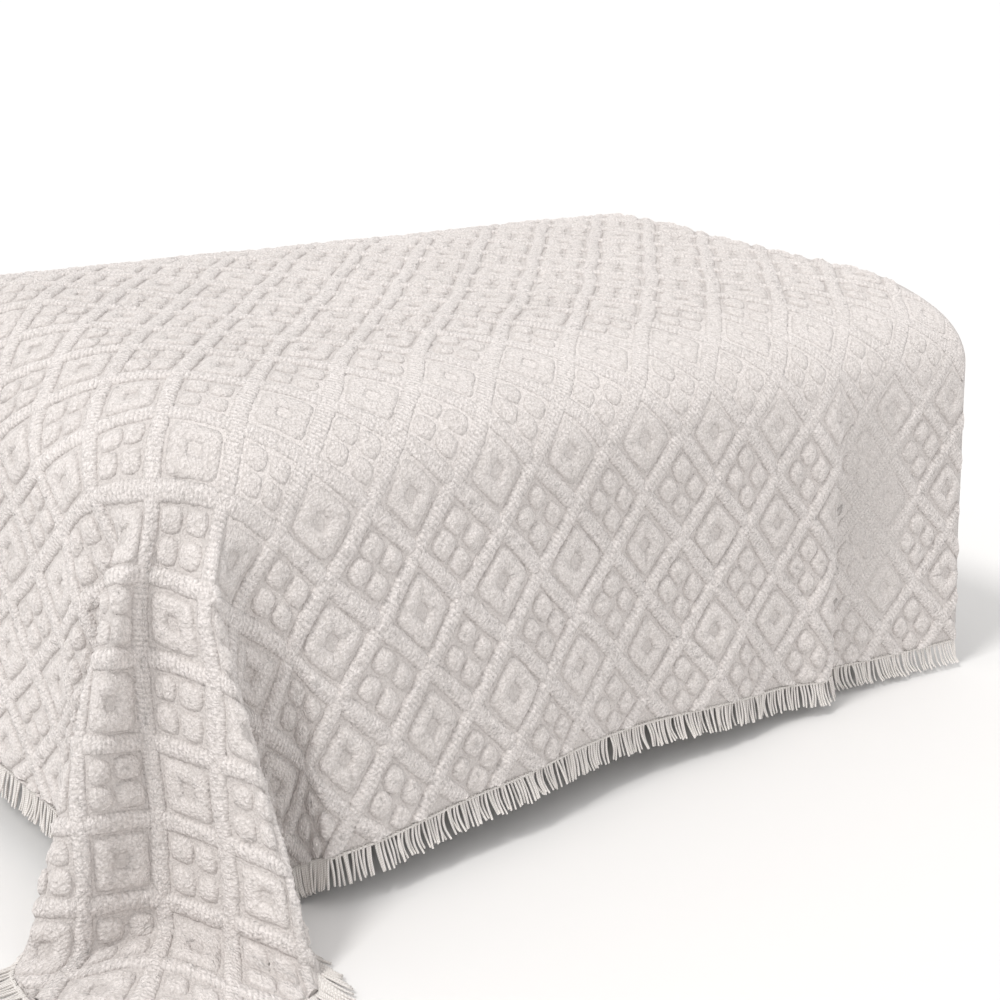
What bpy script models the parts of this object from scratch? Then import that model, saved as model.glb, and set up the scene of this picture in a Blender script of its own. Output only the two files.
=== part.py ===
"""Chenille bedspread with a raised diamond lattice and a yarn fringe, draped over a plain double bed.

Metres, +Z up. X runs across the bed, +Y towards its head. The origin is the centre of the bed on the floor.
"""

from math import pi

import bmesh
import bpy
import numpy as np

# ---------------------------------------------------------------- driving dimensions
TOP_WIDTH = 1.46          # between the long edges of the covered bed
TOP_LENGTH = 1.965        # foot edge to head end
TOP_HEIGHT = 0.83         # top of the bed, at the start of its rounded edges
CROWN_RISE = 0.051        # the middle of the bed above that
PUFF_RISE, PUFF_ACROSS, PUFF_WIDTH = 0.042, -0.42, 0.30  # and the fuller far half
EDGE_ZONE, FAR_ZONE = 0.26, 0.17          # width over which the top rounds down to each side
EDGE_POWER = 2.3          # how late in that width the cloth turns down

LATTICE_ACROSS = 0.1018   # half a diamond, across the bed
LATTICE_ALONG = 0.0895    # half a diamond, along the bed
LATTICE_CENTRE = (0.854, -0.675)  # the middle of one diamond, in cloth coordinates
STEPS_ACROSS = (-43, 11)  # hems, in half lattice steps from that middle
STEPS_ALONG = (-21, 37)
HEM_MARGIN = 0.010        # plain cloth past the last step, at the near and foot hems
CLOTH_THICK = 0.003
BAND_RISE = 0.006         # the pile bands above the ground cloth

SLACK_ALONG = (0.0, 0.22, 0.42, 0.60, 0.75, 0.88, 1.0)  # share of the length, from the foot
SLACK_NEAR = (0.015, -0.025, -0.042, -0.028, -0.004, 0.007, 0.010)  # near cloth drawn down there
SLACK_START, SLACK_OVER = 0.20, 0.40      # how far across the bed that starts, and the width it takes
LEAN_ALONG = (0.0, 0.75, 1.0)    # share of the length where these outward leans of the hanging cloth hold
LEAN_NEAR = (0.20, 0.03, 0.05)
LEAN_FAR = (0.15, 0.07, 0.05)
LEAN_FOOT = 0.10
LEAN_START = 0.25         # cloth distance from the flat top where the lean sets in
LIFT_START = 0.10         # shortest length of cloth that a sideways drift lifts
FLOOR_GAP = 0.0042        # face of the cloth above the floor where it lies there
FLOOR_BEND = 0.025        # radius of its turn on to the floor
FLOOR_SPREAD = 1.7        # how much wider than they fall the folds run out over the floor

HEM_GAPS = {"near": 0.0018, "foot": 0.0021, "far": 0.0014}  # between each hem and its fringe strip
STRIP_DEPTH = 0.007
LOCK_LENGTH = 0.042
LOCK_PITCH = 0.037
LOCK_SHARE = 0.70         # of the pitch
LOCK_SWAY = 0.005         # tips moved sideways by up to this, in turns of SWAY_TURN a lock
SWAY_TURN = 2.3
LOCK_TAPER = 0.8
LOCK_THICK = 0.0022
NODE_CLEAR = 0.003        # a bend of the hem this near a lock's edge is left to that edge

TOP_CLEAR, EDGE_CLEAR = 0.0018, 0.013   # between the cloth and the mattress, on top and past its edges
CLEAR_EARLY = 0.6         # share of the edge zone by which that room opens ahead of it
HEAD_CLEAR = 0.004        # the mattress ends this far inside the bed's length
TOP_STEPS, EDGE_STEPS = 6, 6
MATTRESS_BOTTOM = 0.50
BASE_BOTTOM = 0.10
BASE_INSET = 0.03
BASE_CORNER = 0.12        # radius of its upright edges
PIECE_GAP = 0.0003
FOOT_RADIUS = 0.032
FOOT_INSET = 0.16

# Folds of the hanging sides: where along the side, half width, and how far out they stand at the hem.
NEAR_FOLDS = (
    # along, half_width, out
    (-0.73, 0.075, -0.032),
    (-0.30, 0.10, 0.014),
    (-0.02, 0.12, -0.012),
    (0.26, 0.11, 0.014),
    (0.53, 0.045, 0.024),
)
FAR_FOLDS = (
    (-0.45, 0.13, 0.020),
    (-0.10, 0.15, -0.016),
    (0.30, 0.12, 0.020),
    (0.65, 0.12, -0.014),
)
FOOT_FOLDS = (
    (-0.34, 0.10, 0.016),
    (-0.08, 0.12, -0.010),
    (0.17, 0.10, 0.014),
)
PLEAT_ALONG = 0.59        # the near side steps back here, and comes forward again towards the head
PLEAT_WIDTH = 0.018
PLEAT_DEPTH = 0.036

# The loose cloth of a foot corner: how far each ray of it stands from a plain rounded corner, high and low.
CORNER_START, CORNER_HIGH, CORNER_LOW = 0.30, 0.50, 1.05   # cloth distances from the corner's centre
LOWEST = 1.25             # its folds open no more past this share of the way from high to low
CORNER_FOLDS = (
    # angle, high_x, high_y, low_x, low_y
    (0, 0.000, 0.000, 0.000, 0.000),
    (10, 0.028, -0.013, 0.041, -0.012),
    (18, 0.041, 0.009, 0.050, 0.046),
    (23, 0.050, 0.025, 0.060, 0.043),
    (28, 0.059, -0.001, 0.037, -0.072),
    (32, 0.029, -0.046, 0.004, -0.161),
    (38, 0.045, -0.067, 0.015, -0.126),
    (45, -0.003, -0.037, -0.019, -0.014),
    (54, 0.010, -0.027, 0.063, 0.027),
    (63, 0.065, -0.044, 0.167, 0.039),
    (69, 0.011, -0.047, 0.048, 0.031),
    (76, -0.023, -0.034, -0.105, -0.006),
    (83, -0.013, -0.015, -0.091, 0.017),
    (90, 0.000, 0.000, 0.000, 0.000),
)
FAR_CORNER_SHARE = 0.24   # the far corner's folds against the near one's

INNER_NEAR, INNER_FAR = TOP_WIDTH / 2 - EDGE_ZONE, TOP_WIDTH / 2 - FAR_ZONE
INNER_Y = TOP_LENGTH / 2 - EDGE_ZONE


# ------------------------------------------------- the cloth as a function of its flat coordinates
def edge_profile():
    """Cloth distance, way across and way down over a rounded edge, from the flat top to the vertical."""
    share = np.linspace(0, 1, 241)
    slope = pi / 2 * share**EDGE_POWER
    step = share[1]
    across = np.concatenate([[0], np.cumsum((np.cos(slope[1:]) + np.cos(slope[:-1])) / 2 * step)])
    down = np.concatenate([[0], np.cumsum((np.sin(slope[1:]) + np.sin(slope[:-1])) / 2 * step)])
    return share / across[-1], across / across[-1], down / across[-1]


EDGE_RUN, EDGE_ACROSS, EDGE_DOWN = edge_profile()


def over_edge(reach, zone):
    """Way across and way down after a cloth distance over an edge rounded within a zone."""
    share = reach / zone
    across = np.interp(share, EDGE_RUN, EDGE_ACROSS)
    down = np.interp(share, EDGE_RUN, EDGE_DOWN) + np.maximum(share - EDGE_RUN[-1], 0)
    return across * zone, down * zone


def crown_height(x, past_x, past_y, zone):
    crown = CROWN_RISE * (1 - np.minimum(np.abs(x) / (TOP_WIDTH / 2), 1) ** 2)
    puff = PUFF_RISE * np.exp(-(((x - PUFF_ACROSS) / PUFF_WIDTH) ** 2))
    fade = (1 - smooth_step(past_y / EDGE_ZONE)) * (1 - smooth_step(past_x / zone))
    return (crown + puff) * fade


def smooth_step(value):
    value = np.clip(value, 0, 1)
    return value * value * (3 - 2 * value)


def soft_ramp(value, softness=0.04):
    """0 below zero and rising by 1 a metre above it, with a rounded start."""
    return (value + np.sqrt(value * value + softness**2)) / 2


def smooth_table(angle, knots, values):
    """Catmull-Rom curve through a table's points."""
    tangents = np.gradient(values, knots)
    i = np.clip(np.searchsorted(knots, angle, side="right") - 1, 0, len(knots) - 2)
    width = knots[i + 1] - knots[i]
    t = np.clip((angle - knots[i]) / width, 0, 1)
    return (
        (2 * t**3 - 3 * t**2 + 1) * values[i]
        + (t**3 - 2 * t**2 + t) * width * tangents[i]
        + (3 * t**2 - 2 * t**3) * values[i + 1]
        + (t**3 - t**2) * width * tangents[i + 1]
    )


def fold_height(along, folds):
    return sum(out * np.exp(-(((along - centre) / width) ** 2)) for centre, width, out in folds)


def side_shift(along):
    """How far the cloth is drawn down (+) or up (-) on the near side."""
    return smooth_table(along / TOP_LENGTH + 0.5, np.array(SLACK_ALONG), np.array(SLACK_NEAR))


def cloth_point(u, v):
    """Where a point of the flat cloth lies: u across and v along, both from the middle of the bed."""
    u, v = np.broadcast_arrays(np.asarray(u, float), np.asarray(v, float))
    near = u > 0
    shift = np.where(near, side_shift(v), 0) * smooth_step((np.abs(u) - SLACK_START) / SLACK_OVER)
    inner_x = np.where(near, INNER_NEAR, INNER_FAR)
    past_x = np.maximum(np.abs(u) + shift - inner_x, 0)
    past_y = np.maximum(-v - INNER_Y, 0)
    reach = np.hypot(past_x, past_y)
    angle = np.degrees(np.arctan2(past_x, past_y))   # 0 towards the foot, 90 towards the side
    sine, cosine = np.sin(np.radians(angle)), np.cos(np.radians(angle))

    head_share = np.clip(v / TOP_LENGTH + 0.5, 0, 1)
    near_lean, far_lean = [
        smooth_table(head_share, np.array(LEAN_ALONG), np.array(lean)) for lean in (LEAN_NEAR, LEAN_FAR)
    ]
    side_lean = np.where(near, near_lean, far_lean)
    lean = LEAN_FOOT + (side_lean - LEAN_FOOT) * angle / 90
    hang = soft_ramp(reach - LEAN_START)

    zone = EDGE_ZONE + (np.where(near, EDGE_ZONE, FAR_ZONE) - EDGE_ZONE) * angle / 90
    across, down = over_edge(reach, zone)

    after_pleat = np.clip((v - PLEAT_ALONG) / (TOP_LENGTH / 2 - PLEAT_ALONG), 0, 1)
    pleat = -PLEAT_DEPTH * smooth_step((v - PLEAT_ALONG) / PLEAT_WIDTH / 2 + 0.5) * (1 - after_pleat)
    side_out = np.where(near, fold_height(v, NEAR_FOLDS) + pleat, fold_height(v, FAR_FOLDS))
    foot_out = fold_height(u, FOOT_FOLDS)
    low = hang / (CORNER_LOW - LEAN_START)
    on_side, on_foot = smooth_step((angle - 60) / 30), smooth_step((30 - angle) / 30)
    out = lean * hang + low * (side_out * on_side + foot_out * on_foot)

    table = np.array(CORNER_FOLDS, float)
    high = smooth_step((reach - CORNER_START) / (CORNER_HIGH - CORNER_START))
    lower = np.clip((reach - CORNER_HIGH) / (CORNER_LOW - CORNER_HIGH), 0, LOWEST)
    size = np.where(near, 1.0, FAR_CORNER_SHARE)
    fold_x, fold_y = [
        size * (high * (1 - lower) * smooth_table(angle, table[:, 0], table[:, k])
                + lower * smooth_table(angle, table[:, 0], table[:, k + 2]))
        for k in (1, 2)
    ]
    drift_x, drift_y = out * sine + fold_x, -out * cosine + fold_y
    lift = (drift_x**2 + drift_y**2) / (2 * np.maximum(reach - EDGE_ZONE, LIFT_START))

    z = TOP_HEIGHT + crown_height(u, past_x, past_y, zone) - down + lift

    # On the floor the cloth turns outwards and runs on level.
    over = np.maximum(FLOOR_GAP + FLOOR_BEND - z, 0)
    turn = np.minimum(over / FLOOR_BEND, pi / 2)
    run = FLOOR_BEND * (1 - np.cos(turn)) + np.maximum(over - FLOOR_BEND * pi / 2, 0)
    heading = np.radians(np.clip(45 + (angle - 45) * FLOOR_SPREAD, 0, 90))
    z = np.where(over > 0, FLOOR_GAP + FLOOR_BEND * (1 - np.sin(turn)), z)

    inside_x = np.minimum(np.abs(u) + shift, inner_x)
    x = inside_x + across * sine + drift_x + run * np.sin(heading)
    y = -np.minimum(-v, INNER_Y) - (across * cosine - drift_y + run * np.cos(heading))
    return np.stack([np.where(near, x, -x), y, z], axis=-1)


def cloth_normal(u, v, step=0.004):
    """Outward unit normal of the cloth, from short differences."""
    along_u = cloth_point(u + step, v) - cloth_point(u - step, v)
    along_v = cloth_point(u, v + step) - cloth_point(u, v - step)
    normal = np.cross(along_u, along_v)
    return normal / np.linalg.norm(normal, axis=-1, keepdims=True)


# ---------------------------------------------------------------- helpers
def clear_scene():
    for obj in list(bpy.data.objects):
        bpy.data.objects.remove(obj, do_unlink=True)


def material(name, colour, roughness, metallic=0.0):
    made = bpy.data.materials.new(name)
    made.use_nodes = True
    shader = made.node_tree.nodes["Principled BSDF"]
    shader.inputs["Base Color"].default_value = (*colour, 1)
    shader.inputs["Roughness"].default_value = roughness
    shader.inputs["Metallic"].default_value = metallic
    made.diffuse_color = (*colour, 1)
    return made


def add_object(name, mesh, look, collection):
    mesh.materials.append(look)
    obj = bpy.data.objects.new(name, mesh)
    collection.objects.link(obj)
    return obj


def solidify(obj, thickness):
    """Gives an open surface its thickness, inwards from its outer face."""
    wall = obj.modifiers.new("thickness", "SOLIDIFY")
    wall.thickness = thickness
    wall.offset = -1
    wall.use_rim = True
    return wall


# ---------------------------------------------------------------- the sheet
def lattice_nodes():
    """Half-step nodes of the lattice on its lines and in its diamonds' middles, and the four corners."""
    first_i, last_i = STEPS_ACROSS
    first_j, last_j = STEPS_ALONG
    ends = {(i, j) for i in STEPS_ACROSS for j in STEPS_ALONG}
    nodes = [
        (i, j)
        for j in range(first_j, last_j + 1)
        for i in range(first_i, last_i + 1)
        if (i + j) % 2 == 0 or (i, j) in ends
    ]
    return nodes, {node: k for k, node in enumerate(nodes)}


def step_to_cloth(steps):
    across, along = np.moveaxis(np.asarray(steps, float), -1, 0)
    near_hem, foot_hem = across == STEPS_ACROSS[1], along == STEPS_ALONG[0]
    return (
        LATTICE_CENTRE[0] + across * LATTICE_ACROSS / 2 + HEM_MARGIN * near_hem,
        LATTICE_CENTRE[1] + along * LATTICE_ALONG / 2 - HEM_MARGIN * foot_hem,
    )


def band_height(steps):
    """1 on the pile bands and 0 in the middle of a diamond, fading out at the hems."""
    i, j = np.asarray(steps).T
    middle = (i % 2 == 0) & (j % 2 == 0) & ((i // 2 + j // 2) % 2 == 0)
    (first_i, last_i), (first_j, last_j) = STEPS_ACROSS, STEPS_ALONG
    edge = np.minimum.reduce([i - first_i, last_i - i, j - first_j, last_j - j])
    return np.where(middle | (edge == 0), 0.0, 1.0)


def build_bedspread(look, collection):
    nodes, index = lattice_nodes()
    u, v = step_to_cloth(nodes)
    points = cloth_point(u, v) + cloth_normal(u, v) * (BAND_RISE * band_height(nodes))[:, None]
    mesh = bmesh.new()
    verts = [mesh.verts.new(point) for point in points]
    for j in range(STEPS_ALONG[0], STEPS_ALONG[1] + 1):
        for i in range(STEPS_ACROSS[0], STEPS_ACROSS[1] + 1):
            if (i + j) % 2 == 0:
                continue
            around = [(i - 1, j), (i, j - 1), (i + 1, j), (i, j + 1)]
            if (i, j) in index:
                k = next(k for k in range(4) if around[k] in index and around[(k + 1) % 4] in index)
                corners = [around[k], around[(k + 1) % 4], (i, j)]
            else:
                corners = [node for node in around if node in index]
            start = next((k for k, node in enumerate(corners) if node[0] % 2 == 0), 0)
            corners = corners[start:] + corners[:start]
            for k in range(1, len(corners) - 1):
                mesh.faces.new([verts[index[node]] for node in (corners[0], corners[k], corners[k + 1])])
    data = bpy.data.meshes.new("bedspread")
    mesh.normal_update()
    mesh.to_mesh(data)
    mesh.free()
    obj = add_object("bedspread", data, look, collection)
    solidify(obj, CLOTH_THICK).use_quality_normals = True
    return obj


# ---------------------------------------------------------------- the fringe
def hem_reach(u, v, along_hem, step=0.002):
    """Flat distance past the hem for each metre straight off it, as the folds crowd or open the cloth."""
    across = (cloth_point(u + step, v) - cloth_point(u - step, v)) / (2 * step)
    along = (cloth_point(u, v + step) - cloth_point(u, v - step)) / (2 * step)
    area = np.linalg.norm(np.cross(across, along), axis=-1)
    hem = np.linalg.norm(across if along_hem == "u" else along, axis=-1)
    return np.clip(hem / area, 0.7, 2.5)


def hem_rows(side):
    """Positions along a hem, in step with the cloth's nodes, and points there at the strip's top, its foot
    and the lock tips."""
    ends_u, _ = step_to_cloth([(i, 0) for i in STEPS_ACROSS])
    _, ends_v = step_to_cloth([(0, j) for j in STEPS_ALONG])
    gap = HEM_GAPS[side]
    rows = (gap, gap + STRIP_DEPTH, gap + STRIP_DEPTH + LOCK_LENGTH)
    if side == "foot":
        steps = np.arange(STEPS_ACROSS[0], STEPS_ACROSS[1] + 1, 2)
        flat = step_to_cloth(np.stack([steps, steps * 0], -1))[0]
        flat = np.clip(flat, ends_u[0] + gap, ends_u[1] - gap)
        reach = hem_reach(flat, ends_v[0], "u")
        return flat, [cloth_point(flat, ends_v[0] - row * reach) for row in rows]
    steps = np.arange(STEPS_ALONG[0], STEPS_ALONG[1] + 1, 2)
    flat = step_to_cloth(np.stack([steps * 0, steps], -1))[1]
    flat[0] += gap
    edge, way = (ends_u[1], 1) if side == "near" else (ends_u[0], -1)
    reach = hem_reach(edge, flat, "v")
    return flat, [cloth_point(edge + way * row * reach, flat) for row in rows]


def along_rows(at, flat, row):
    return np.stack([np.interp(at, flat, row[:, axis]) for axis in range(3)], axis=-1)


def build_fringe(side, look, collection):
    flat, (top, foot, tip) = hem_rows(side)
    count = round((flat[-1] - flat[0]) / LOCK_PITCH)
    pitch = (flat[-1] - flat[0]) / count
    starts = flat[0] + pitch * (np.arange(count) + (1 - LOCK_SHARE) / 2)
    edges = np.stack([starts, starts + pitch * LOCK_SHARE], axis=-1).ravel()
    cuts = np.concatenate([[flat[0]], edges, [flat[-1]]])
    clear = np.abs(flat[:, None] - cuts).min(axis=1) > NODE_CLEAR
    cuts = np.sort(np.concatenate([cuts, flat[clear]]))
    mesh = bmesh.new()
    upper = [mesh.verts.new(point) for point in along_rows(cuts, flat, top)]
    lower = [mesh.verts.new(point) for point in along_rows(cuts, flat, foot)]
    turned = side == "near"
    for k in range(len(cuts) - 1):
        face = [upper[k], lower[k], lower[k + 1], upper[k + 1]]
        mesh.faces.new(face if turned else face[::-1])
    for number, start in enumerate(starts):
        end = start + pitch * LOCK_SHARE
        first, last = np.searchsorted(cuts, start), np.searchsorted(cuts, end)
        sway = LOCK_SWAY * np.sin(SWAY_TURN * number)
        ends = cuts[first:last + 1]
        slim = (start + end) / 2 + (ends - (start + end) / 2) * LOCK_TAPER + sway
        tips = [mesh.verts.new(point) for point in along_rows(slim, flat, tip)]
        for k in range(last - first):
            face = [lower[first + k], tips[k], tips[k + 1], lower[first + k + 1]]
            mesh.faces.new(face if turned else face[::-1])
    data = bpy.data.meshes.new(f"fringe_{side}")
    mesh.normal_update()
    mesh.to_mesh(data)
    mesh.free()
    obj = add_object(f"fringe_{side}", data, look, collection)
    solidify(obj, LOCK_THICK)
    return obj


# ---------------------------------------------------------------- the bed under it
def mattress_point(across, along):
    """The bed's surface. Up to 1 each coordinate crosses the flat top, the next EDGE_RUN the rounded edge,
    and one more reaches the bottom; the larger of the two leads, so the corners come out round."""
    inner_x = np.where(across > 0, INNER_NEAR, INNER_FAR)
    past_x = np.maximum(np.abs(across) - 1, 0)
    past_y = np.maximum(-along - 1, 0)
    share = np.maximum(past_x, past_y)
    angle = np.arctan2(past_x, past_y) * (share > 0)
    zone = EDGE_ZONE + (np.where(across > 0, EDGE_ZONE, FAR_ZONE) - EDGE_ZONE) * angle / (pi / 2)
    over = np.minimum(share, EDGE_RUN[-1])
    width, down = over_edge(over * zone, zone)
    tilt = np.interp(over, EDGE_RUN, np.gradient(EDGE_DOWN, EDGE_RUN))
    before_x = np.where(np.abs(across) > 1, past_x * zone, (np.abs(across) - 1) * inner_x)
    before_y = np.where(-along > 1, past_y * zone, (-along - 1) * INNER_Y)
    opened = smooth_step(np.maximum(before_x, before_y) / EDGE_ZONE + CLEAR_EARLY)
    inset = CLOTH_THICK + TOP_CLEAR + EDGE_CLEAR * opened
    width = np.maximum(width - inset * tilt, 0)
    side = np.sign(across)
    x = side * (np.minimum(np.abs(across), 1) * inner_x + width * np.sin(angle))
    y = np.clip(along, -1, None) * INNER_Y - width * np.cos(angle) * (past_y > 0)
    crown = crown_height(side * (np.abs(x) + inset * tilt), past_x * zone, past_y * zone, zone)
    z = TOP_HEIGHT + crown - down - inset * np.sqrt(np.maximum(1 - tilt * tilt, 0))
    z += (MATTRESS_BOTTOM - z) * np.maximum(share - EDGE_RUN[-1], 0)
    return np.stack([x, y, z], axis=-1)


def build_mattress(look, collection):
    edge = 1 + np.append(np.linspace(0, EDGE_RUN[-1], EDGE_STEPS + 1)[1:], EDGE_RUN[-1] + 1)
    across = np.concatenate([-edge[::-1], np.linspace(-1, 1, 2 * TOP_STEPS + 1), edge])
    head = (TOP_LENGTH / 2 - HEAD_CLEAR) / INNER_Y
    along = np.concatenate([-edge[::-1], np.linspace(-1, head, 2 * TOP_STEPS + 3)])
    grid = mattress_point(*np.meshgrid(across, along))
    mesh = bmesh.new()
    verts = [[mesh.verts.new(point) for point in row] for row in grid]
    for j in range(len(along) - 1):
        for i in range(len(across) - 1):
            mesh.faces.new([verts[j][i], verts[j][i + 1], verts[j + 1][i + 1], verts[j + 1][i]])
    mesh.faces.new(verts[-1])
    left = [row[0] for row in verts]
    right = [row[-1] for row in verts]
    mesh.faces.new(left + right[::-1] + verts[0][-2:0:-1])
    bmesh.ops.remove_doubles(mesh, verts=mesh.verts, dist=1e-5)
    bmesh.ops.recalc_face_normals(mesh, faces=mesh.faces)
    data = bpy.data.meshes.new("mattress")
    mesh.to_mesh(data)
    mesh.free()
    return add_object("mattress", data, look, collection)


def build_base(look, collection):
    width, length = TOP_WIDTH - 2 * BASE_INSET, TOP_LENGTH - 2 * BASE_INSET
    height = MATTRESS_BOTTOM - PIECE_GAP - BASE_BOTTOM
    mesh = bmesh.new()
    bmesh.ops.create_cube(mesh, size=1)
    bmesh.ops.scale(mesh, vec=(width, length, height), verts=mesh.verts)
    upright = [e for e in mesh.edges if abs(e.verts[0].co.z - e.verts[1].co.z) > height / 2]
    bmesh.ops.bevel(mesh, geom=upright, offset=BASE_CORNER, segments=6, affect="EDGES", profile=0.5)
    bmesh.ops.translate(mesh, vec=(0, 0, BASE_BOTTOM + height / 2), verts=mesh.verts)
    data = bpy.data.meshes.new("bed_base")
    mesh.to_mesh(data)
    mesh.free()
    return add_object("bed_base", data, look, collection)


def build_feet(look, collection):
    x, y = TOP_WIDTH / 2 - FOOT_INSET, TOP_LENGTH / 2 - FOOT_INSET
    places = {
        "foot_centre": (0, 0),
        "foot_near_head": (x, y),
        "foot_near_end": (x, -y),
        "foot_far_head": (-x, y),
        "foot_far_end": (-x, -y),
    }
    height = BASE_BOTTOM - PIECE_GAP
    for name, (px, py) in places.items():
        mesh = bmesh.new()
        bmesh.ops.create_cone(
            mesh, cap_ends=True, segments=24, radius1=FOOT_RADIUS, radius2=FOOT_RADIUS, depth=height
        )
        data = bpy.data.meshes.new(name)
        mesh.to_mesh(data)
        mesh.free()
        foot = add_object(name, data, look, collection)
        foot.location = (px, py, height / 2)


def main():
    clear_scene()
    collection = bpy.data.collections.new("chenille_bedspread")
    bpy.context.scene.collection.children.link(collection)
    chenille = material("chenille", (0.72, 0.69, 0.66), 0.95)
    yarn = material("fringe_yarn", (0.70, 0.67, 0.64), 0.95)
    ticking = material("ticking", (0.80, 0.79, 0.76), 0.90)
    cover = material("base_cover", (0.42, 0.40, 0.38), 0.90)
    wood = material("foot_wood", (0.13, 0.08, 0.05), 0.45)
    build_bedspread(chenille, collection)
    for side in ("near", "foot", "far"):
        build_fringe(side, yarn, collection)
    build_mattress(ticking, collection)
    build_base(cover, collection)
    build_feet(wood, collection)


main()
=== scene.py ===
from math import cos, pi, radians, sin

import bpy
import numpy as np
from mathutils import Matrix


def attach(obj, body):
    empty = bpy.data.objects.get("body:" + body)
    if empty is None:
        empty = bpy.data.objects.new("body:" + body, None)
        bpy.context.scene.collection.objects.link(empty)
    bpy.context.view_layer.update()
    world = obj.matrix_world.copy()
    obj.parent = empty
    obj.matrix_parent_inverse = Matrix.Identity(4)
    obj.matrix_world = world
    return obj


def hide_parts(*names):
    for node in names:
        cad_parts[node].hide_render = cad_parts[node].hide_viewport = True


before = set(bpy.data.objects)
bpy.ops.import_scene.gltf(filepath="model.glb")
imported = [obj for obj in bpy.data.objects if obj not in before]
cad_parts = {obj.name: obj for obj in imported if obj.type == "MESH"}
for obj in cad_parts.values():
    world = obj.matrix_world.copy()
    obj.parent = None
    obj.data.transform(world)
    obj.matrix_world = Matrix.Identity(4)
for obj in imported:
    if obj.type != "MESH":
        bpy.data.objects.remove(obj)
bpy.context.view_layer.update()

# Chenille bedspread on a plain double bed: ground cloth, sewn pile, yarn fringe, mattress, covered base.
# Metres. X runs across the bed, +Y towards its head, and the floor is z = 0.
print("frame loaded")

view = {
    "place": (3.0149, -2.0196, 1.4849),
    "azimuth": 52.99, "elevation": 16.81,  # degrees about the upright axis, and that it looks down
    "lens": 60.59, "sensor": 36,
    "reach": 900,  # past the far end of the floor
}


def putObject(name, data):
    # an object of this mesh, camera or lamp, in the scene
    made = bpy.data.objects.new(name, data)
    bpy.context.scene.collection.objects.link(made)
    return made


def pick(pair):
    return pair[0]


def turned(right, up, back):
    # the turn whose columns are these three ways
    return Matrix([[right[i], up[i], back[i]] for i in range(3)]).to_4x4()


def addCamera(settings):
    # a camera that looks along its azimuth and elevation: right is level, and up is square to right and back
    a, e = radians(settings["azimuth"]), radians(settings["elevation"])
    right = (cos(a), sin(a), 0)
    back = (sin(a) * cos(e), -cos(a) * cos(e), sin(e))
    data = bpy.data.cameras.new("camera")
    data.lens, data.sensor_width, data.clip_end = settings["lens"], settings["sensor"], settings["reach"]
    camera = putObject("camera", data)
    camera.matrix_world = Matrix.Translation(settings["place"]) @ turned(right, np.cross(back, right), back)
    bpy.context.scene.camera = camera


addCamera(view)


def fanTriangles(group):
    # polygons (n, sides) cut into triangles that share the first corner
    first = np.repeat(group[:, :1], group.shape[1] - 2, axis=1)
    return np.stack([first, group[:, 1:-1], group[:, 2:]], -1).reshape(-1, 3)


def putMesh(name, points, quads, caps=(), flat=None, rise=None, look=None):
    # points (n, 3), quads (m, 4), caps a list of arrays of polygons with the same number of corners each;
    # flat (n, 2) goes into the UV map and rise (n), a painted shade of the cloth's colour, into an attribute.
    # A mesh whose volume, the sum of its triangles' triple products, is below nothing is inside out, and is
    # turned.
    points = np.asarray(points, float).reshape(-1, 3)
    groups = [np.asarray(group, int) for group in (quads, *caps)]
    corners = points[np.concatenate([fanTriangles(group) for group in groups])]
    if np.einsum("ij,ij->", corners[:, 0], np.cross(corners[:, 1], corners[:, 2])) < 0:
        groups = [group[:, ::-1] for group in groups]
    loops = np.concatenate([group.ravel() for group in groups])
    sizes = np.concatenate([np.full(len(group), group.shape[1]) for group in groups])
    mesh = bpy.data.meshes.new(name)
    mesh.vertices.add(len(points))
    mesh.vertices.foreach_set("co", points.ravel())
    mesh.loops.add(len(loops))
    mesh.loops.foreach_set("vertex_index", loops)
    mesh.polygons.add(len(sizes))
    mesh.polygons.foreach_set("loop_start", np.concatenate([[0], np.cumsum(sizes)[:-1]]))
    mesh.polygons.foreach_set("use_smooth", np.full(len(sizes), True))
    if flat is not None:
        layer = mesh.uv_layers.new(name="flat")
        layer.uv.foreach_set("vector", np.asarray(flat, float).reshape(-1, 2)[loops].ravel())
    if rise is not None:
        layer = mesh.attributes.new("rise", "FLOAT", "POINT")
        layer.data.foreach_set("value", np.asarray(rise, float).ravel())
    mesh.update(calc_edges=True)
    mesh.validate()
    mesh.materials.append(look)
    piece = putObject(name, mesh)
    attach(piece, "root")
    return piece


def gridFaces(rows, columns, closedRows=False, closedColumns=False):
    # corner numbers of the faces of a grid whose points are numbered row by row
    r = np.arange(rows if closedRows else rows - 1)[:, None]
    c = np.arange(columns if closedColumns else columns - 1)[None, :]
    nextR, nextC = (r + 1) % rows, (c + 1) % columns
    corners = (r * columns + c, nextR * columns + c, nextR * columns + nextC, r * columns + nextC)
    return np.stack(corners, -1).reshape(-1, 4)


def rimOf(grid):
    # a grid's outer entries, once round
    return np.concatenate([grid[0, :-1], grid[:-1, -1], grid[-1, :0:-1], grid[:0:-1, 0]])


def slabFaces(rows, columns):
    # a front grid, a back grid whose points come after the front's, and the wall between their rims
    count = rows * columns
    front = gridFaces(rows, columns)
    rim = rimOf(np.arange(count).reshape(rows, columns))
    nextRim = np.roll(rim, -1)
    wall = np.stack([rim, nextRim, nextRim + count, rim + count], -1)
    return np.concatenate([front, front[:, ::-1] + count, wall])


def manyFaces(faces, count, points):
    # the faces of one shape repeated for each copy, where a copy has this many points
    return (np.arange(count)[:, None, None] * points + faces[None]).reshape(-1, faces.shape[1])


def roundCaps(around, rings):
    # the two end faces of a tube that has this many rings of points
    end = np.arange(around)[None]
    return np.concatenate([end[:, ::-1], (rings - 1) * around + end])


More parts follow.
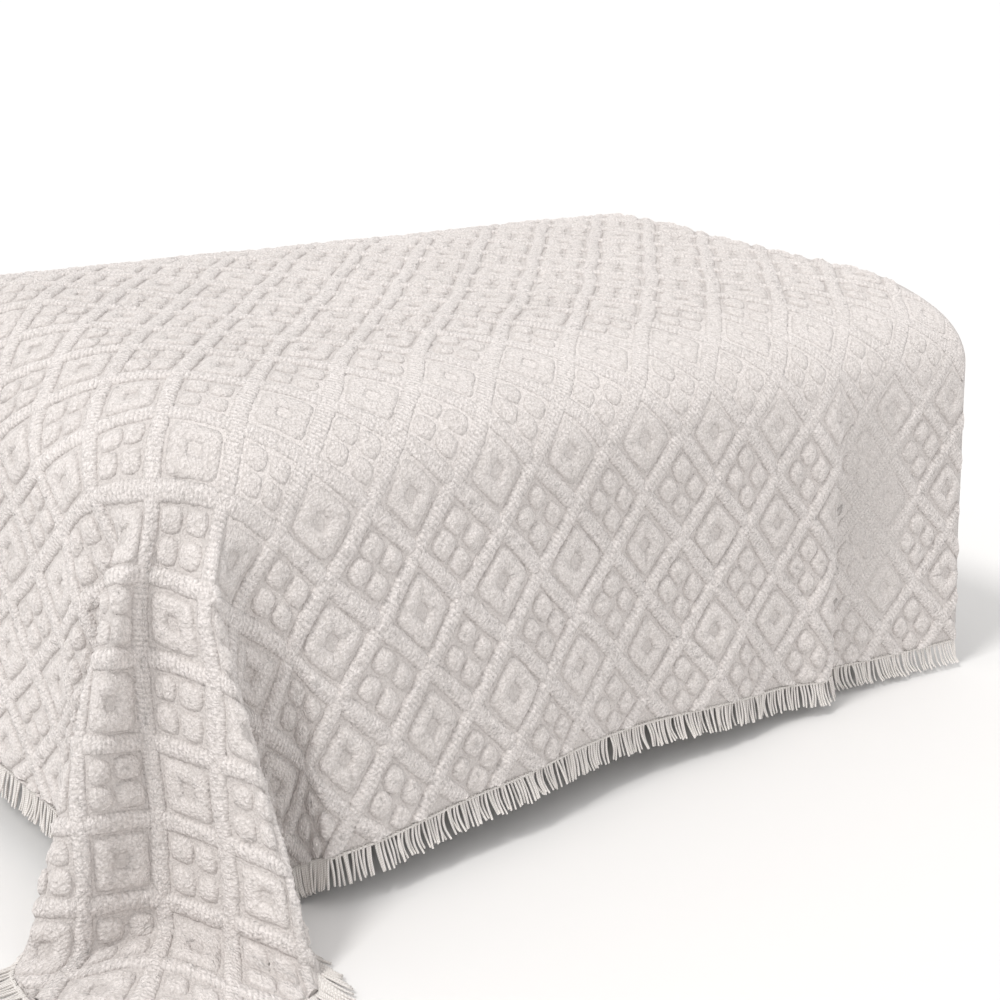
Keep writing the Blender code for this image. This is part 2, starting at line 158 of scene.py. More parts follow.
def aroundTube(path, normal, radius, around):
    # the points of a round section at each point of a path, the first one square to the path and the normal,
    # and how far round they are, in turns
    way = unit(np.gradient(path, axis=-2))
    beside = unit(np.cross(way, normal))
    outward = np.cross(beside, way)
    share = np.arange(around) / around
    turn = share * 2 * pi
    ring = np.cos(turn)[:, None] * beside[..., None, :] + np.sin(turn)[:, None] * outward[..., None, :]
    return path[..., None, :] + radius * ring, share


def runAlong(path):
    # how far along a path each of its points lies
    return np.concatenate([[0], np.cumsum(np.linalg.norm(np.diff(path, axis=0), axis=1))])


def unit(vectors):
    # each vector divided by its length
    return vectors / np.maximum(np.linalg.norm(vectors, axis=-1, keepdims=True), 1e-9)


# the cloth as a function of its flat coordinates
cloth = {
    "topWidth": 1.46, "topLength": 1.965, "topHeight": 0.83,
    "crown": 0.051,
    "puff": (0.042, -0.42, 0.30),  # rise, place across, width
    "edgeZone": 0.26, "farZone": 0.17, "edgePower": 2.3, "edgeSteps": 240,
    "half": (0.1018, 0.0895),  # half a diamond, across and along
    "centre": (0.854, -0.675),  # the middle of one diamond
    "hemSteps": ((-43, 11), (-21, 37)),  # quarters of a diamond, across and along
    "hemMargins": ((0, 0.010), (-0.010, 0)),
    "thick": 0.003, "slopeStep": 0.004,
    "meshPitch": (0.0135, 0.026),
    "slackAlong": (0.0, 0.22, 0.42, 0.60, 0.75, 0.88, 1.0),
    "slackNear": (0.015, -0.025, -0.042, -0.028, -0.004, 0.007, 0.010),
    "slackStart": 0.20, "slackOver": 0.40,
    "leanAlong": (0.0, 0.75, 1.0), "leanNear": (0.20, 0.03, 0.05), "leanFar": (0.15, 0.07, 0.05),
    "leanFoot": 0.10, "leanStart": 0.25, "leanSoft": 0.04, "liftStart": 0.10,
    "foldTurn": 30,  # degrees over which a side's folds fade
    "floorGap": 0.0042, "floorBend": 0.025, "floorSpread": 1.7,
    "pleat": (0.59, 0.020, 0.036),  # place along, width, depth
    "pleatReach": 0.60,  # how soon it is deep: a power of the way down
    "cornerStart": 0.30, "cornerHigh": 0.50, "cornerLow": 1.05, "lowest": 1.25, "farCorner": 0.24,
}
# along, half width, how far out at the hem
nearFolds = ((-0.73, 0.075, -0.032), (-0.30, 0.10, 0.014), (-0.02, 0.12, -0.012), (0.26, 0.11, 0.014),
             (0.53, 0.045, 0.024))
farFolds = ((-0.45, 0.13, 0.020), (-0.10, 0.15, -0.016), (0.30, 0.12, 0.020), (0.65, 0.12, -0.014))
footFolds = ((-0.34, 0.10, 0.016), (-0.08, 0.12, -0.010), (0.17, 0.10, 0.014))
# the loose cloth of a foot corner: angle, high x, high y, low x, low y
cornerFolds = np.array((
    (0, 0, 0, 0, 0), (10, 0.028, -0.013, 0.041, -0.012), (18, 0.041, 0.009, 0.05, 0.046),
    (23, 0.05, 0.025, 0.06, 0.043), (28, 0.059, -0.001, 0.037, -0.072), (32, 0.029, -0.046, 0.004, -0.161),
    (38, 0.045, -0.067, 0.015, -0.126), (45, -0.003, -0.037, -0.019, -0.014),
    (54, 0.01, -0.027, 0.063, 0.027), (63, 0.065, -0.044, 0.167, 0.039), (69, 0.011, -0.047, 0.048, 0.031),
    (76, -0.023, -0.034, -0.105, -0.006), (83, -0.013, -0.015, -0.091, 0.017), (90, 0, 0, 0, 0),
))
# the flat middle of the top reaches this far
innerNear, innerFar = [cloth["topWidth"] / 2 - cloth[key] for key in ("edgeZone", "farZone")]
innerY = cloth["topLength"] / 2 - cloth["edgeZone"]


def edgeProfile():
    # cloth distance, way across and way down over a rounded edge whose slope is a power of the distance
    share = np.linspace(0, 1, cloth["edgeSteps"] + 1)
    slope = pi / 2 * share ** cloth["edgePower"]
    across, down = [
        np.concatenate([[0], np.cumsum((way[1:] + way[:-1]) / 2 * share[1])])
        for way in (np.cos(slope), np.sin(slope))
    ]
    return share / across[-1], across / across[-1], down / across[-1]


edgeRun, edgeAcross, edgeDown = edgeProfile()


def smoothStep(value):
    # 0 below 0 and 1 above 1, and 3 t^2 - 2 t^3 between
    value = np.clip(value, 0, 1)
    return value * value * (3 - 2 * value)


def smoothTable(at, knots, values):
    # a cubic through the table's points, its slopes from the neighbours
    knots, values = np.asarray(knots, float), np.asarray(values, float)
    tangents = np.gradient(values, knots)
    i = np.clip(np.searchsorted(knots, at, side="right") - 1, 0, len(knots) - 2)
    width = knots[i + 1] - knots[i]
    t = np.clip((at - knots[i]) / width, 0, 1)
    return ((2 * t**3 - 3 * t**2 + 1) * values[i] + (t**3 - 2 * t**2 + t) * width * tangents[i]
            + (3 * t**2 - 2 * t**3) * values[i + 1] + (t**3 - t**2) * width * tangents[i + 1])


def foldHeight(along, folds):
    # a sum of bell curves, one for each fold
    return sum(out * np.exp(-(((along - centre) / width) ** 2)) for centre, width, out in folds)


def edgeWidth(near, turn):
    # the width of the rounded edge this share of the way round a corner, from the foot's to the side's
    return cloth["edgeZone"] + np.where(near, 0, cloth["farZone"] - cloth["edgeZone"]) * turn


def crownHeight(x, pastX, pastY, zone):
    # a parabola across the bed and one bell curve, both fading over the rounded edges
    rise, across, width = cloth["puff"]
    crown = cloth["crown"] * (1 - np.minimum(np.abs(x) / (cloth["topWidth"] / 2), 1) ** 2)
    puff = rise * np.exp(-(((x - across) / width) ** 2))
    return (crown + puff) * (1 - smoothStep(pastY / cloth["edgeZone"])) * (1 - smoothStep(pastX / zone))


def clothPoint(u, v):
    # the flat point (u across, v along) on the bed: level on top, round over the edges, then hanging. Each
    # corner is a fan of rays that stand off by the fold table, and on the floor the cloth turns out level
    c = cloth
    u, v = np.broadcast_arrays(np.asarray(u, float), np.asarray(v, float))
    near = u > 0
    headShare = v / c["topLength"] + 0.5
    slack = smoothTable(headShare, c["slackAlong"], c["slackNear"])
    shift = np.where(near, slack, 0) * smoothStep((np.abs(u) - c["slackStart"]) / c["slackOver"])
    innerX = np.where(near, innerNear, innerFar)
    pastX = np.maximum(np.abs(u) + shift - innerX, 0)
    pastY = np.maximum(-v - innerY, 0)
    reach = np.hypot(pastX, pastY)
    angle = np.degrees(np.arctan2(pastX, pastY))
    sine, cosine = np.sin(np.radians(angle)), np.cos(np.radians(angle))
    headShare = np.clip(headShare, 0, 1)
    sideLean = np.where(near, smoothTable(headShare, c["leanAlong"], c["leanNear"]),
                        smoothTable(headShare, c["leanAlong"], c["leanFar"]))
    lean = c["leanFoot"] + (sideLean - c["leanFoot"]) * angle / 90
    past = reach - c["leanStart"]
    hang = (past + np.sqrt(past * past + c["leanSoft"] ** 2)) / 2
    zone = edgeWidth(near, angle / 90)
    share = reach / zone
    across = np.interp(share, edgeRun, edgeAcross) * zone
    down = (np.interp(share, edgeRun, edgeDown) + np.maximum(share - edgeRun[-1], 0)) * zone
    pleatAlong, pleatWidth, pleatDepth = c["pleat"]
    afterPleat = np.clip((v - pleatAlong) / (c["topLength"] / 2 - pleatAlong), 0, 1)
    pleat = -pleatDepth * smoothStep((v - pleatAlong) / pleatWidth / 2 + 0.5) * (1 - afterPleat)
    low = hang / (c["cornerLow"] - c["leanStart"])
    sideOut = np.where(near, foldHeight(v, nearFolds) * low + pleat * low ** c["pleatReach"],
                       foldHeight(v, farFolds) * low)
    out = (lean * hang + sideOut * smoothStep((angle - 90 + c["foldTurn"]) / c["foldTurn"])
           + low * foldHeight(u, footFolds) * smoothStep((c["foldTurn"] - angle) / c["foldTurn"]))
    high = smoothStep((reach - c["cornerStart"]) / (c["cornerHigh"] - c["cornerStart"]))
    lower = np.clip((reach - c["cornerHigh"]) / (c["cornerLow"] - c["cornerHigh"]), 0, c["lowest"])
    size = np.where(near, 1.0, c["farCorner"])
    foldX, foldY = [
        size * (high * (1 - lower) * smoothTable(angle, cornerFolds[:, 0], cornerFolds[:, k])
                + lower * smoothTable(angle, cornerFolds[:, 0], cornerFolds[:, k + 2]))
        for k in (1, 2)
    ]
    driftX, driftY = out * sine + foldX, -out * cosine + foldY
    lift = (driftX**2 + driftY**2) / (2 * np.maximum(reach - c["edgeZone"], c["liftStart"]))
    z = c["topHeight"] + crownHeight(u, pastX, pastY, zone) - down + lift
    bend = c["floorBend"]
    over = np.maximum(c["floorGap"] + bend - z, 0)
    turn = np.minimum(over / bend, pi / 2)
    run = bend * (1 - np.cos(turn)) + np.maximum(over - bend * pi / 2, 0)
    heading = np.radians(np.clip(45 + (angle - 45) * c["floorSpread"], 0, 90))
    z = np.where(over > 0, c["floorGap"] + bend * (1 - np.sin(turn)), z)
    x = np.minimum(np.abs(u) + shift, innerX) + across * sine + driftX + run * np.sin(heading)
    y = -np.minimum(-v, innerY) - (across * cosine - driftY + run * np.cos(heading))
    return np.stack([np.where(near, x, -x), y, z], axis=-1)


def clothSlopes(u, v, step):
    # how the cloth's point moves over twice a step of u, and of v
    return (clothPoint(u + step, v) - clothPoint(u - step, v),
            clothPoint(u, v + step) - clothPoint(u, v - step))


def clothNormal(u, v):
    # square to both slopes
    return unit(np.cross(*clothSlopes(u, v, cloth["slopeStep"])))


# a product of two sines, each turned by a slower one: height, turns across, by, at, turns along, from, by, at
swells = ((0.0016, 9.1, 3.3, 2.9, 7.7, 1.3, 2.1, 3.7), (0.00096, 21.0, 2.0, 8.3, 17.0, 0.7, 0.0, 0.0))


def softness(u, v):
    # slow swells of the cloth, a few millimetres: the sum of those products
    return sum(height * np.sin(a * u + b * np.sin(c * v)) * np.sin(d * v + e + f * np.sin(g * u))
               for height, a, b, c, d, e, f, g in swells)


wearAndShade = {
    "edge": (0.70, 0.155), "edgeFrom": (-0.93, -0.80),  # near edge: middle and half width; its start
    "patch": (1.06, 0.70, 0.28, 0.130),  # middle, half sizes
    "flattens": 0.81, "levels": 0.90, "patchShade": 0.80,  # flattening of the pile; lift of the ground's painted groove shade beside it; painted shade that greys the patch
}


def sittingStrip(u, v):
    # 1 where the pile is sat flat: a strip along the near edge, its sides exp(-d^3)
    middle, half = wearAndShade["edge"]
    first, full = wearAndShade["edgeFrom"]
    return np.exp(-((np.abs(u - middle) / half) ** 3)) * smoothStep((v - first) / (full - first))


def rubbedShadedPatch(u, v):
    # 1 where the pile is rubbed flat and greyed by painted shade: an oval beyond the pleat, its side
    # exp(-d^3)
    across, along, halfU, halfV = wearAndShade["patch"]
    far = ((u - across) / halfU) ** 2 + ((v - along) / halfV) ** 2
    return np.exp(-(far**1.5))


def pileHeight(u, v, height):
    # metres off the cloth, less where the pile is worn
    worn = np.maximum(sittingStrip(u, v), rubbedShadedPatch(u, v))
    return height * pile["height"] * (1 - wearAndShade["flattens"] * worn * (height > 0))


def paintedPileShade(u, v, height):
    # 0 for the ground cloth's darker colours, 1 for the pile's: painted shade low on each tuft, and painted
    # shade that greys the rubbed patch
    return np.clip(height, 0, 1) * (1 - wearAndShade["patchShade"] * rubbedShadedPatch(u, v))


def onCloth(u, v, height):
    # the point that stands this far off the cloth's face
    return clothPoint(u, v) + clothNormal(u, v) * (height + softness(u, v))[..., None]


# the cloth ends so many quarters of a diamond from the centre, and a margin further out
centre, half = [np.array(cloth[key])[:, None] for key in ("centre", "half")]
(hemFar, hemNear), (hemFoot, hemHead) = (centre + cloth["hemSteps"] * half / 2 + cloth["hemMargins"]).tolist()


class Wire:
    # a socket's value in a material; sums, differences and products of wires are Math nodes
    def __init__(self, tree, socket=None):
        self.tree, self.socket = tree, socket

    def node(self, kind, settings=None, sockets=None, out=0):
        # any node: its settings, what goes into its sockets, and the value that is handed back
        made = self.tree.nodes.new(kind)
        for key, value in (settings or {}).items():
            setattr(made, key, value)
        for key, value in (sockets or {}).items():
            if isinstance(value, Wire):
                self.tree.links.new(value.socket, made.inputs[key])
            else:
                made.inputs[key].default_value = value
        return Wire(self.tree, made.outputs[out])

    def math(self, operation, *values):
        # one Math node on these values
        return self.node("ShaderNodeMath", {"operation": operation}, dict(enumerate(values)))

    def __add__(self, other):
        return self.math("ADD", self, other)

    __radd__ = __add__

    def __mul__(self, other):
        return self.math("MULTIPLY", self, other)

    __rmul__ = __mul__

    def __sub__(self, other):
        return self.math("SUBTRACT", self, other)

    def __rsub__(self, other):
        return self.math("SUBTRACT", other, self)

    def noise(self, sockets):
        # cloudy noise at this place
        return self.node("ShaderNodeTexNoise", {}, {"Vector": self, **sockets})

    def parts(self, count):
        # the first numbers of this vector
        return [self.node("ShaderNodeSeparateXYZ", {}, {"Vector": self}, out=k) for k in range(count)]

    def spread(self, low, high, way="LINEAR"):
        # 0 where this is low, 1 where it is high
        return self.node("ShaderNodeMapRange", {"interpolation_type": way},
                         {"Value": self, "From Min": low, "From Max": high})

    def mixed(self, low, high):
        # the colour between low, where this is 0, and high, where it is 1 (sockets 6 and 7, value 2)
        low, high = [(*colour, 1) if isinstance(colour, tuple) else colour for colour in (low, high)]
        return self.node("ShaderNodeMix", {"data_type": "RGBA"}, {0: self, 6: low, 7: high}, out=2)

    def bump(self, strength, depth):
        # the normal of a surface that rises by this much of the depth
        return self.node("ShaderNodeBump", {}, {"Strength": strength, "Distance": depth, "Height": self})


def newLook(name, surface):
    # a material whose surface shader has these constants, and a wire to begin from
    made = bpy.data.materials.new(name)
    made.use_nodes = True
    for key, value in surface.items():
        made.node_tree.nodes["Principled BSDF"].inputs[key].default_value = value
    return made, Wire(made.node_tree)


def join(made, colour, normal):
    # the colour and the normal go into the surface shader
    shader = made.node_tree.nodes["Principled BSDF"]
    made.node_tree.links.new(colour.socket, shader.inputs["Base Color"])
    made.node_tree.links.new(normal.socket, shader.inputs["Normal"])
    return made


chenilleLook = {
    "pile": ((0.645, 0.602, 0.577), (0.905, 0.853, 0.832)),  # dark and light; the dark end is partly painted shade between the loops
    # the ground cloth's colours are darker than the pile's: painted shade in the grooves between the tufts
    "ground": ((0.56, 0.523, 0.503), (0.74, 0.695, 0.672)),
    "surface": {"Roughness": 0.95, "Sheen Weight": 0.25, "Sheen Roughness": 0.6, "Specular IOR Level": 0.15},
    "tuft": {"Scale": 190, "Randomness": 0.9, "Smoothness": 0.4},
    "fibre": {"Scale": 300, "Detail": 1.5, "Roughness": 0.6, "Distortion": 1.1},
    "broad": {"Scale": 2.6, "Detail": 3.0},
    "tuftMiddle": 1.25, "shades": (0.45, 0.65, 0.20), "shadeSpan": (0.60, 1.00),  # tuft, fibre, broad: the tuft's share is painted shade between the loops, the others uneven tone
    "reliefs": (0.7, 0.5), "bump": (0.9, 0.0055),  # of tuft and fibre; strength and depth
    "shadeRiseSpan": (0.05, 0.85),  # from the ground cloth's darker colours, painted shade low on each tuft, to the pile's
    "rowSpacing": 0.0085,  # tuft rows across a band
    "rowShake": 8.0, "rowShade": 0.035, "rowLighter": 0.045, "rowRelief": 0.09,
}


def chenilleMaterial(name, s, rowWay=0):
    # loops from a cell pattern and curly noise; rowWay, 1 or -1, adds tuft rows across the bands of one
    # family: a sine along the band, shaken by the fibre
    made, start = newLook(name, s["surface"])
    place = start.node("ShaderNodeUVMap", {"uv_map": "flat"})
    # rise is painted shade: low on each tuft, in the grooves and over the rubbed patch it takes the ground
    # cloth's darker colours
    rise = start.node("ShaderNodeAttribute", {"attribute_name": "rise"}, out=2)
    tuft = start.node("ShaderNodeTexVoronoi", {"feature": "SMOOTH_F1"}, {"Vector": place, **s["tuft"]})
    fibre, broad = place.noise(s["fibre"]), place.noise(s["broad"])
    # the tuft cells darken the colour between the loops: painted shade; the fibre and broad noise are uneven
    # tone
    shade = (s["tuftMiddle"] - tuft) * s["shades"][0] + fibre * s["shades"][1] + broad * s["shades"][2]
    height = (1 - tuft) * s["reliefs"][0] + fibre * s["reliefs"][1]
    if rowWay:
        halfU, halfV = cloth["half"]
        turns = pi * np.hypot(halfU, halfV) / s["rowSpacing"]
        across, along = place.parts(2)
        run = across * (turns / halfU) + along * (rowWay * turns / halfV)
        # the rows darken the colour in the dips between them: painted shade
        rows = start.math("SINE", run + fibre * s["rowShake"])
        shade, height = shade + rows * s["rowShade"] + s["rowLighter"], height + rows * s["rowRelief"]
    grain, rise = shade.spread(*s["shadeSpan"]), rise.spread(*s["shadeRiseSpan"], "SMOOTHSTEP")
    colour = rise.mixed(grain.mixed(*s["ground"]), grain.mixed(*s["pile"]))
    return join(made, colour, height.bump(*s["bump"]))


chenille = chenilleMaterial("chenille_pile", chenilleLook)
bandLooks = {axis: chenilleMaterial(f"chenille_bands_{axis}", chenilleLook, way)
             for axis, way in (("p", -1), ("q", 1))}
groundLook = {**chenilleLook, "tuft": {**chenilleLook["tuft"], "Scale": 230}, "bump": (0.9, 0.0034)}
groundCloth = chenilleMaterial("ground_cloth", groundLook)

yarn = {
    "tones": ((0.70, 0.66, 0.625), (0.945, 0.915, 0.885)), "shadeSpan": (0.2, 0.85),
    "surface": {"Roughness": 0.92, "Sheen Weight": 0.25, "Specular IOR Level": 0.15},
    "fibre": {"Scale": 60.0, "Detail": 3.0},
    "plies": 2, "twist": 130.0, "plyShade": 0.25,  # the twist is in turns for each metre
    "bump": (0.7, 0.0009),
}


def yarnMaterial(s):
    # plied yarn: the UV map runs once round a strand and along it in metres, and the plies are a sine of both
    made, start = newLook("fringe_yarn", s["surface"])
    place = start.node("ShaderNodeUVMap", {"uv_map": "flat"})
    around, along = place.parts(2)
    # the plies' sine darkens the grooves between the plies: painted shade; the noise is the fibres' uneven
    # tone
    ply = start.math("SINE", (around + along * s["twist"]) * (2 * pi * s["plies"]))
    shade = ply * s["plyShade"] + place.noise(s["fibre"])
    return join(made, shade.spread(*s["shadeSpan"]).mixed(*s["tones"]), shade.bump(*s["bump"]))


yarnLook = yarnMaterial(yarn)

tickingCloth = {
    "tones": ((0.72, 0.70, 0.66), (0.84, 0.82, 0.78)),
    "surface": {"Roughness": 0.88, "Sheen Weight": 0.1, "Specular IOR Level": 0.2},
    "threads": 5200.0, "crossing": 0.5,  # radians for each metre; the threads along the bed
    "stain": {"Scale": 9.0, "Detail": 4.0}, "bump": (0.35, 0.0004),
}


def tickingMaterial(s):
    # the sine of x times that of z, and some of that of y, for the weave, in a colour of broad noise
    made, start = newLook("mattress_ticking", s["surface"])
    place = start.node("ShaderNodeTexCoord", out=3)  # on the object
    x, y, z = [start.math("SINE", axis * s["threads"]) for axis in place.parts(3)]
    weave = x * z + y * s["crossing"]
    return join(made, place.noise(s["stain"]).mixed(*s["tones"]), weave.bump(*s["bump"]))


ticking = tickingMaterial(tickingCloth)

baseLinen = {
    "tones": ((0.30, 0.285, 0.265), (0.50, 0.475, 0.445)),
    "surface": {"Roughness": 0.9, "Sheen Weight": 0.15, "Specular IOR Level": 0.2},
    "slub": {"Scale": 420.0, "Detail": 3.0}, "broad": {"Scale": 5.0, "Detail": 3.0}, "shades": (0.7, 0.3),
    "bump": (0.5, 0.0006),
}


def coverMaterial(s):
    # fine noise for the slubs and broad noise for the mottle, added up for the colour
    made, start = newLook("base_linen", s["surface"])
    place = start.node("ShaderNodeTexCoord", out=3)  # on the object
    slub, broad = place.noise(s["slub"]), place.noise(s["broad"])
    shade = slub * s["shades"][0] + broad * s["shades"][1]
    return join(made, shade.mixed(*s["tones"]), slub.bump(*s["bump"]))


baseLook = coverMaterial(baseLinen)

footWood = {
    "tones": ((0.055, 0.030, 0.018), (0.19, 0.11, 0.065)),
    "surface": {"Roughness": 0.42, "Coat Weight": 0.15},
    "stretch": (60, 60, 6), "grain": {"Scale": 3.0, "Detail": 5.0, "Distortion": 0.6}, "bump": (0.2, 0.0005),
}


def woodMaterial(s):
    # noise drawn out along the upright grain
    made, start = newLook("stained_wood", s["surface"])
    place = start.node("ShaderNodeTexCoord", out=3)  # on the object
    grain = start.node("ShaderNodeMapping", {}, {"Vector": place, "Scale": s["stretch"]}).noise(s["grain"])
    return join(made, grain.mixed(*s["tones"]), grain.bump(*s["bump"]))


wood = woodMaterial(footWood)
print("materials made")


def buildGround():
    # an even grid over the flat cloth, put on the bed, and the same again the cloth's thickness inwards
    pitch = pick(cloth["meshPitch"])
    gridU, gridV = np.meshgrid(*[np.linspace(first, last, round((last - first) / pitch))
                                 for first, last in ((hemFar, hemNear), (hemFoot, hemHead))])
    outer = onCloth(gridU, gridV, 0)
    inner = outer - clothNormal(gridU, gridV) * cloth["thick"]
    flat = np.stack([gridU, gridV], -1)
    # where the pile is sat flat, the ground's painted groove shade is lifted towards the pile's colours
    worn = sittingStrip(gridU, gridV) * wearAndShade["levels"]
    return putMesh("bedspread_cloth", np.stack([outer, inner]), slabFaces(*gridU.shape),
                   flat=np.stack([flat, flat]), rise=np.stack([worn, worn]), look=groundCloth)


ground = buildGround()
print("ground cloth made")

# the sewn pile: bands of the lattice, a ring or four pads in each diamond
pile = {
    "height": 0.0074,
    "jitter": 0.20, "levels": (0.2, 1.35),  # of a tuft's height, and the lowest and the highest
    "wobble": 0.0035,  # how far the lattice strays
    "straysU": (3.1, 1.7, 1.3, 2.3, 0.4), "straysV": (2.7, 1.4, 1.9, 1.0),
    "inset": 0.005, "insetSoft": 0.0012,  # the pile stops this far inside the hem
    "reach": 40, "cellMargin": 0.04,  # cells each way; how far out a middle may be
}
bandForm = {
    "half": 0.128,  # half width, in cells
    "section": ((-1, -0.35), (-0.94, 0.08), (-0.76, 0.52), (-0.48, 0.86), (-0.17, 1),
                (0.17, 1), (0.48, 0.86), (0.76, 0.52), (0.94, 0.08), (1, -0.35)),
    "rowStep": (0.0066, 0.0198),  # tuft rows along a band, full and quick
    "shortest": 0.05, "fewestRows": 3,
    "edge": 0.9, "edgeJitter": 0.007,  # the part of the section that strays sideways
    "crossing": 0.11, "dip": 0.22,  # the other family runs over this one
    "hemMargin": 0.003,
}
ringForm = {
    "middle": 0.214, "half": 0.138,
    "section": ((-1, -0.35), (-0.90, 0.12), (-0.55, 0.74), (0, 1.05), (0.55, 0.74), (0.90, 0.12), (1, -0.35)),
    "rows": (32, 12),
    "ease": 0.12,  # draws the rows towards the corners
    "corner": ((0.10, 0.33), (4.0, 7.0)),  # radius, and how square it is there
    "noise": (0.03, 0.006, 0.012),  # of the size, of a point, of the place
}
padForm = {
    "place": 0.179, "half": 0.170,
    "section": ((1, -0.35), (0.92, 0.20), (0.68, 0.78), (0.35, 1.02)), "top": 1.06,
    "around": 12, "corner": 3.8,
    "noise": (0.05, 0.006, 0.010),
}


def latticePlace(p, q):
    # lattice cells, which count along the two ways of the bands, to flat metres: by their sum and difference
    (centreU, centreV), (halfU, halfV) = cloth["centre"], cloth["half"]
    return centreU + (p + q) * halfU, centreV + (p - q) * halfV


def cellToFlat(p, q):
    # the same with a slow hand-made wobble from sines that are turned by slower ones
    u, v = latticePlace(p, q)
    a, b, c, d, e = pile["straysU"]
    strayU = np.sin(a * p + b * np.sin(c * q)) * np.cos(d * q + e)
    a, b, c, d = pile["straysV"]
    strayV = np.sin(a * q + b * np.sin(c * p) + d)
    return u + pile["wobble"] * strayU, v + pile["wobble"] * strayV


def softStop(x, stop, way):
    # the distance d past a stop becomes (d + sqrt(d^2 + 4 s^2)) / 2
    d = way * (x - stop)
    return stop + way * (d + np.sqrt(d * d + 4 * pile["insetSoft"] ** 2)) / 2


def keepInside(u, v):
    # soft stops a little inside all four hems
    low = pile["inset"]
    return (softStop(softStop(u, hemFar + low, 1), hemNear - low, -1),
            softStop(softStop(v, hemFoot + low, 1), hemHead - low, -1))


def tuftHeight(level, shape, dip=0):
    # the section's level times an uneven 1, less the dip, kept within limits; below the cloth's face it stays
    top = level > 0
    height = level * np.where(top, 1 + pile["jitter"] * rng.normal(0, 1, shape), 1) - dip * top
    return np.where(top, np.clip(height, *pile["levels"]), height)


def putPile(name, u, v, height, quads, caps, look):
    # a mesh of tufts from the flat places and the heights of its points
    return putMesh(name, onCloth(u, v, pileHeight(u, v, height)), quads, caps,
                   np.stack([u, v], -1), paintedPileShade(u, v, height), look)


rng = np.random.default_rng(31)


def bandRange(fixed, axis):
    # where a line, fixed on one lattice axis, runs inside the hem rectangle on the other axis
    (centreU, centreV), (halfU, halfV), low = cloth["centre"], cloth["half"], pile["inset"]
    sums = (np.array(((hemFar + low,), (hemNear - low,))) - centreU) / halfU  # p + q at two hems
    differences = (np.array(((hemFoot + low,), (hemHead - low,))) - centreV) / halfV  # p - q at the others
    across = sums - fixed
    along = fixed - differences if axis == "p" else fixed + differences
    return np.maximum(across.min(0), along.min(0)), np.minimum(across.max(0), along.max(0))


def buildBands(axis):
    # for each line of the lattice, the band's section carried from hem to hem
    form = bandForm
    beside, level = np.array(form["section"]).T
    k = len(level)
    points, quads, caps, start = [], [], [], 0
    for line in np.arange(-pile["reach"], pile["reach"] + 1) + 0.5:
        fixed = line + beside * form["half"]
        first, last = bandRange(fixed, axis)
        if (last - first).min() < form["shortest"]:
            continue
        length = (last - first).mean() * np.hypot(*cloth["half"])
        rows = max(round(length / pick(form["rowStep"])), form["fewestRows"])
        run = first + (last - first) * np.linspace(0, 1, rows)[:, None]
        fixed = fixed + rng.normal(0, form["edgeJitter"], run.shape) * (np.abs(beside) > form["edge"])
        crossing = np.exp(-(((run - np.floor(run) - 0.5) / form["crossing"]) ** 4))
        height = tuftHeight(level, run.shape, form["dip"] * crossing * (axis == "q"))
        p, q = (fixed, run) if axis == "p" else (run, fixed)
        points.append(np.stack([*cellToFlat(p, q), height]).reshape(3, -1))
        quads.append(gridFaces(rows, k, closedColumns=True) + start)
        caps.append(roundCaps(k, rows) + start)
        start += rows * k
    u, v, height = np.concatenate(points, axis=1)
    margin = form["hemMargin"]
    u, v = np.clip(u, hemFar + margin, hemNear - margin), np.clip(v, hemFoot + margin, hemHead - margin)
    return putPile(f"pile_bands_{axis}", u, v, height, np.concatenate(quads), [np.concatenate(caps)],
                   bandLooks[axis])


def cellCentres(odd):
    # the middles of the ring diamonds, or of the odd ones that hold pads, that lie inside the hem
    count, margin = np.arange(-pile["reach"], pile["reach"] + 1), pile["cellMargin"]
    p, q = [grid.ravel() for grid in np.meshgrid(count, count)]
    u, v = latticePlace(p, q)
    inside = ((u > hemFar - margin) & (u < hemNear + margin) & (v > hemFoot - margin) & (v < hemHead + margin)
              & ((p + q) % 2 == odd))
    return p[inside], q[inside]


def roundedSquare(turn, power):
    # the direction's distance to a square with rounded corners, side 2
    return (np.abs(np.cos(turn)) ** power + np.abs(np.sin(turn)) ** power) ** (-1 / power)


def copyShape(middleP, middleQ, shape, turn, noise):
    # one shape, distances from a middle in these directions, round each middle, with noise in its size,
    # points and place; also the moved middles
    size, point, place = noise
    count = len(middleP)
    each = shape * (1 + size * rng.normal(0, 1, (count, 1, 1))) + rng.normal(0, point, (count, *shape.shape))
    middle = np.stack([middleP, middleQ])[..., None, None] + rng.normal(0, place, (2, count, 1, 1))
    return middle + each * np.stack([np.cos(turn), np.sin(turn)])[:, None], middle


def buildRings():
    # the section carried round a rounded square in each ring diamond
    form = ringForm
    beside, level = np.array(form["section"]).T
    rows, k = pick(form["rows"]), len(level)
    turn = np.arange(rows)[:, None] / rows * 2 * pi
    turn = turn + form["ease"] * np.sin(4 * turn)
    radius = form["middle"] + beside * form["half"]
    shape = radius * roundedSquare(turn, np.interp(radius, *form["corner"]))
    p, q = copyShape(*cellCentres(0), shape, turn, form["noise"])[0]
    height = tuftHeight(level, p.shape)
    faces = manyFaces(gridFaces(rows, k, True, True), len(p), rows * k)
    return putPile("pile_rings", *keepInside(*cellToFlat(p, q)), height, faces, (), chenille)


